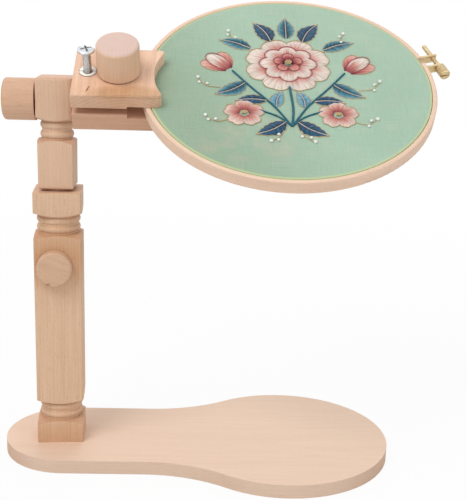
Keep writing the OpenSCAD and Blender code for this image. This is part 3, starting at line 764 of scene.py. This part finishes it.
class Needlework:
    """Stitches gathered in one mesh."""

    def __init__(self, seed):
        self.shape = bmesh.new()
        self.thread = self.shape.verts.layers.float_color.new("thread")
        self.strands = self.shape.loops.layers.uv.new("strands")
        self.luck = random.Random(seed)

    def satin(self, place, shades, lift, base, size, cells=(8, 20)):
        """A raised closed pad of stitches. place(s, t) runs along the strands with s, across them with t."""
        long, wide = cells
        drift = [self.luck.uniform(-1, 1) for unused in range(wide + 1)]
        pad = bmesh.ops.create_grid(self.shape, x_segments=wide, y_segments=long, size=0.5)["verts"]
        uvs = []
        for vert in pad:
            j = round((vert.co.x + 0.5) * wide)
            s, t = round((vert.co.y + 0.5) * long) / long, j / wide
            swell = (16 * s * (1 - s) * t * (1 - t)) ** 0.32
            tone = blend(shades, s + 0.16 * drift[j] * (1 - abs(2 * s - 1)))
            vert[self.thread] = rgba(tuple(c * (1 + 0.10 * drift[-1 - j]) for c in tone))
            vert.co = (*place(s, t), (base + lift) * swell - 0.1)
            uvs.append((s * size[0], t * size[1]))
        edges = dict.fromkeys(edge for vert in pad for edge in vert.link_edges)
        bmesh.ops.holes_fill(self.shape, edges=[edge for edge in edges if edge.is_boundary], sides=0)
        for vert, uv in zip(pad, uvs):
            for loop in vert.link_loops:
                loop[self.strands].uv = uv

    def cord(self, points, radius, shade, height=0.3):
        """A twisted cord along points, closed at both ends."""
        rings = []
        reach = 0.0
        for i, point in enumerate(points):
            ahead = (points[min(i + 1, len(points) - 1)] - points[max(i - 1, 0)]).normalized()
            side = Vector((-ahead.y, ahead.x))
            if i:
                reach += (point - points[i - 1]).length
            ring = []
            for k in range(CORD_SIDES):
                turn = math.tau * k / CORD_SIDES
                spot = point + side * (radius * math.cos(turn))
                vert = self.shape.verts.new((*spot, height + radius * math.sin(turn)))
                vert[self.thread] = rgba(shade)
                ring.append((vert, (reach, radius * turn + reach * 0.6)))
            rings.append(ring)
        for first, second in zip(rings, rings[1:]):
            for k in range(CORD_SIDES):
                after = (k + 1) % CORD_SIDES
                self.face((first[k], first[after], second[after], second[k]))
        self.face(rings[0])
        self.face(rings[-1])

    def face(self, corners):
        """A face through vertices, each with its place in the UV map."""
        made = self.shape.faces.new([vert for vert, uv in corners])
        for loop, (vert, uv) in zip(made.loops, corners):
            loop[self.strands].uv = uv

    def knot(self, spot, radius, shade, height):
        """A French knot."""
        turn = Matrix.Translation((spot[0], spot[1], height)) @ Matrix.Diagonal((1, 1, 0.7, 1))
        made = bmesh.ops.create_icosphere(self.shape, subdivisions=2, radius=radius, matrix=turn)
        for vert in made["verts"]:
            vert[self.thread] = rgba(shade)
            for loop in vert.link_loops:
                loop[self.strands].uv = (0, vert.co.z * 1.5 + vert.co.x * 0.5)

    def petal(self, origin, heading, start, length, width, shades, lift, base=0.0, notch=0.0, edge=GOLD):
        """A petal whose strands fan out from its root to its rim, with a thin cord along the rim."""
        out, side = heading_to(heading)
        middle = polar(origin, start + 0.56 * length, heading)

        def rim(t):
            turn = math.radians(125) * (2 * t - 1)
            dent = 1 - notch * math.exp(-(turn / 0.28) ** 2)
            ahead = out * (0.44 * length * dent * math.cos(turn))
            return middle + ahead - side * (0.5 * width * math.sin(turn))

        def place(s, t):
            root = polar(origin, start + 0.04 * length, heading) - side * (0.22 * width * (2 * t - 1))
            return root.lerp(rim(t), s)

        self.satin(place, shades, lift, base, (length, width * 1.4))
        self.cord([rim(i / 24) for i in range(25)], 0.30, edge, base * 0.9 + 0.25)

    def leaf(self, origin, heading, length, width, shades, bend=0.0):
        """A leaf of two halves, stitched from vein to margin, with a cord for its vein and for its edge."""
        out, side = heading_to(heading)

        def spine(t):
            return Vector(origin) + out * (length * t) + side * (bend * math.sin(math.pi * t))

        for hand in (-1, 1):
            def margin(t):
                wave = 1 + 0.07 * math.sin(t * 34)
                return spine(t) + side * (hand * width / 2 * math.sin(math.pi * t ** 0.8) ** 0.85 * wave)

            def place(s, t):
                end = 0.03 + 0.94 * t
                return spine(end - 0.14 * math.sin(math.pi * end)).lerp(margin(end), s)

            self.satin(place, shades, 1.0, 0.0, (width / 2, length), (6, 22))
            self.cord([margin(0.03 + 0.94 * i / 20) for i in range(21)] + [spine(1.02)], 0.30, GOLD, 0.16)
        self.cord([spine(i / 12 * 0.97) for i in range(13)], 0.34, CREAM, 0.45)

    def mesh(self, name):
        """The mesh of all the stitches, put on the hoop."""
        bmesh.ops.recalc_face_normals(self.shape, faces=self.shape.faces)
        bmesh.ops.transform(self.shape, matrix=HOOP @ Matrix.Scale(MM, 4), verts=self.shape.verts)
        return mesh_from(name, self.shape, 60)


def bloom(work, spot):
    """The large flower: three rings of petals about a heart of knots."""
    for i in range(8):
        tones = (ROSE, SALMON, BLUSH, CREAM, CREAM)
        work.petal(spot, 22.5 + 45 * i, 12.5, 20.0, 21.0, tones, 1.3, 0.1, notch=0.12)
    for i in range(8):
        work.petal(spot, 45 * i, 5.5, 16.0, 14.0, (ROSE, SALMON, BLUSH, CREAM, CREAM), 1.3, 1.1, edge=ROSE)
    for i in range(5):
        work.petal(spot, 90 + 72 * i, 2.6, 8.6, 8.4, (WINE, ROSE, SALMON, BLUSH), 1.2, 2.2, edge=ROSE)
    for count, reach in ((1, 0.0), (6, 1.9)):
        for i in range(count):
            work.knot(polar(spot, reach, 360 * i / count), 0.95, GOLD, 2.9)


def small_flower(work, spot, turn):
    """A flower of five heart-shaped petals about six knots."""
    for i in range(5):
        work.petal(spot, turn + 72 * i, 2.4, 12.4, 12.6, (ROSE, SALMON, BLUSH, CREAM), 1.1, 0.1, notch=0.22)
    for i in range(6):
        work.knot(polar(spot, 1.35 if i else 0.0, 72 * i), 0.8, GOLD, 1.0)


def tulip(work, spot, heading):
    """A tulip of three long petals."""
    for off in (24, -24):
        work.petal(spot, heading + off, 1.0, 22.0, 12.0, (WINE, ROSE, SALMON, BLUSH), 1.0, 0.0)
    work.petal(spot, heading, 0.5, 24.0, 12.5, (ROSE, SALMON, CREAM, CREAM), 1.1, 0.8, edge=ROSE)


def sprig(work, beads, points):
    """A thin stem with a bead at its end and two beside it."""
    line = curve(points, 6)
    work.cord(line, 0.32, GOLD, 0.25)
    for i, off, radius in ((-1, 0.0, 1.4), (-4, 1.9, 1.15), (-7, -1.9, 1.15)):
        ahead = (line[i] - line[i - 1]).normalized()
        spot = line[i] + Vector((-ahead.y, ahead.x)) * off
        grow = Matrix.Translation((spot.x, spot.y, 0.75)) @ Matrix.Diagonal((1, 1, 0.8, 1))
        bmesh.ops.create_uvsphere(beads, u_segments=14, v_segments=9, radius=radius, matrix=grow)


def stitch_side(work, beads, root, hand):
    """One half of the bouquet, mirrored by its hand."""
    navy = (NAVY, DENIM, DENIM)
    teal = (NAVY, TEAL, SKY)
    sky = (DENIM, SKY, SKY)

    def at(x, y):
        return (hand * x, y)

    def way(degrees):
        return degrees if hand > 0 else 180 - degrees

    work.cord(curve([root, at(12, -28), at(27, -8), at(41, 12)], 8), 0.8, TEAL, 0.45)
    work.cord(curve([root, at(9, -40), at(22, -33)], 8), 0.7, TEAL, 0.4)
    work.leaf(at(12, 50), way(62), 27, 14.0, navy, hand * 2.0)
    work.leaf(at(27, 40), way(24), 26, 12.5, teal, hand * 1.6)
    work.leaf(at(31, -1), way(-34), 27, 13.5, teal, hand * -2.0)
    work.leaf(at(17, -22), way(-2), 22, 10.5, navy, hand * 1.6)
    work.leaf(at(10, -29), way(104), 19, 10.0, sky, hand * -1.6)
    work.leaf(at(4, -45), way(-34), 25, 13.0, navy, hand * -1.8)
    tulip(work, at(43, 13), way(48))
    small_flower(work, at(33, -36), way(90))
    sprig(work, beads, [at(27, 37), at(40, 52), at(44, 62)])
    sprig(work, beads, [at(50, -8), at(60, -6), at(66, 3)])
    sprig(work, beads, [at(44, -44), at(53, -46), at(60, -40)])
    sprig(work, beads, [at(5, -50), at(8, -60), at(15, -66)])


def add_embroidery():
    """The bouquet and its beads, mirrored about the hoop's middle."""
    work = Needlework(7)
    beads = bmesh.new()
    root = (0, -50)
    work.cord(curve([root, (1.5, -30), (0, -6)], 8), 0.9, TEAL, 0.5)
    for hand in (-1, 1):
        stitch_side(work, beads, root, hand)
    work.leaf((0, 54), 90, 27, 13, (NAVY, TEAL, SKY))
    bloom(work, (0, 21))
    stitched = new_object("embroidery", work.mesh("embroidery"), "hoop", floss())
    bmesh.ops.recalc_face_normals(beads, faces=beads.faces)
    bmesh.ops.transform(beads, matrix=HOOP @ Matrix.Scale(MM, 4), verts=beads.verts)
    pearls = new_object("seed_beads", mesh_from("seed_beads", beads, 60), "hoop", bead_white())
    return [stitched, pearls]


# Light, floor and camera

WHITE = (1, 1, 1, 1)
SOFT_LIGHT = 0.62
STAND_MIDDLE = Vector((0.1, 0, 0.15))


def add_floor():
    """A pale floor, which the camera sees nearly white."""
    shape = bmesh.new()
    bmesh.ops.create_grid(shape, x_segments=1, y_segments=1, size=6.0)
    mesh = bpy.data.meshes.new("floor")
    shape.to_mesh(mesh)
    shape.free()
    piece = bpy.data.objects.new("floor", mesh)
    bpy.context.collection.objects.link(piece)
    finish = Finish("pale_floor", 0.9, specular=0.1)
    finish.colour(rgba((0.80, 0.80, 0.80)))
    x, y = finish.parts(finish.object_mm())[:2]
    far = finish.step(reach_of(x, y), 350, 1100)
    camera = finish.node("LightPath", out="Is Camera Ray")
    white = finish.node("Emission", {}, {"Color": WHITE, "Strength": 1.0})
    body = Value(finish, finish.shader.outputs[0])
    shown = finish.node("MixShader", {}, {0: camera * (0.93 + far * 0.07), 1: body, 2: white})
    finish.link(finish.tree.nodes["Material Output"].inputs["Surface"], shown)
    mesh.materials.append(finish.material)


def add_world():
    """Soft light from all round, which the camera and the metal see as white."""
    world = bpy.data.worlds.new("studio")
    bpy.context.scene.world = world
    world.use_nodes = True
    nodes = Nodes(world.node_tree)
    soft = world.node_tree.nodes["Background"]
    soft.inputs["Color"].default_value = WHITE
    soft.inputs["Strength"].default_value = SOFT_LIGHT
    clear = nodes.node("Background", {}, {"Color": WHITE, "Strength": 1.0})
    camera = nodes.node("LightPath", out="Is Camera Ray")
    glossy = nodes.node("LightPath", out="Is Glossy Ray")
    either = nodes.maths("MAXIMUM", camera, glossy)
    shown = nodes.node("MixShader", {}, {0: either, 1: Value(nodes, soft.outputs[0]), 2: clear})
    nodes.link(world.node_tree.nodes["World Output"].inputs["Surface"], shown)


def add_lamp(name, spot, size, power):
    """A square soft lamp that looks at the middle of the stand."""
    data = bpy.data.lights.new(name, "AREA")
    data.shape = "SQUARE"
    data.size = size
    data.energy = power
    lamp = bpy.data.objects.new(name, data)
    bpy.context.collection.objects.link(lamp)
    lamp.location = spot
    lamp.rotation_euler = (STAND_MIDDLE - lamp.location).to_track_quat("-Z", "Y").to_euler()


def add_camera():
    """The photograph's camera, as fitted to the stand's outlines."""
    focal_px, long_side_px = 1003.17, 500
    spot = Vector((0.10865, -0.73399, 0.35952))
    pitch, yaw, roll = (math.radians(a) for a in (14.969, -1.747, 1.666))
    forward = Vector((-math.sin(yaw) * math.cos(pitch), math.cos(yaw) * math.cos(pitch), -math.sin(pitch)))
    right = Vector((math.cos(yaw), math.sin(yaw), 0))
    up = right.cross(forward)
    level_right = right * math.cos(roll) + up * math.sin(roll)
    level_up = up * math.cos(roll) - right * math.sin(roll)
    data = bpy.data.cameras.new("camera")
    data.sensor_width = 36
    data.lens = focal_px * data.sensor_width / long_side_px
    data.clip_start, data.clip_end = 0.05, 20
    camera = bpy.data.objects.new("camera", data)
    bpy.context.collection.objects.link(camera)
    turn = Matrix((level_right, level_up, -forward)).transposed().to_4x4()
    camera.matrix_world = Matrix.Translation(spot) @ turn
    bpy.context.scene.camera = camera


bpy.context.scene.view_settings.view_transform = "Standard"
add_floor()
add_world()
add_lamp("key", (-0.65, -0.85, 1.55), size=0.9, power=13.5)
add_lamp("fill", (1.25, -0.95, 0.75), size=1.1, power=3.5)
add_lamp("back", (0.1, 1.3, 1.1), size=1.0, power=5.0)
add_camera()
add_post_wood()
add_clamp_wood()
add_hoop_wood()
add_metal()
cloth = add_cloth()
stitches = add_embroidery()
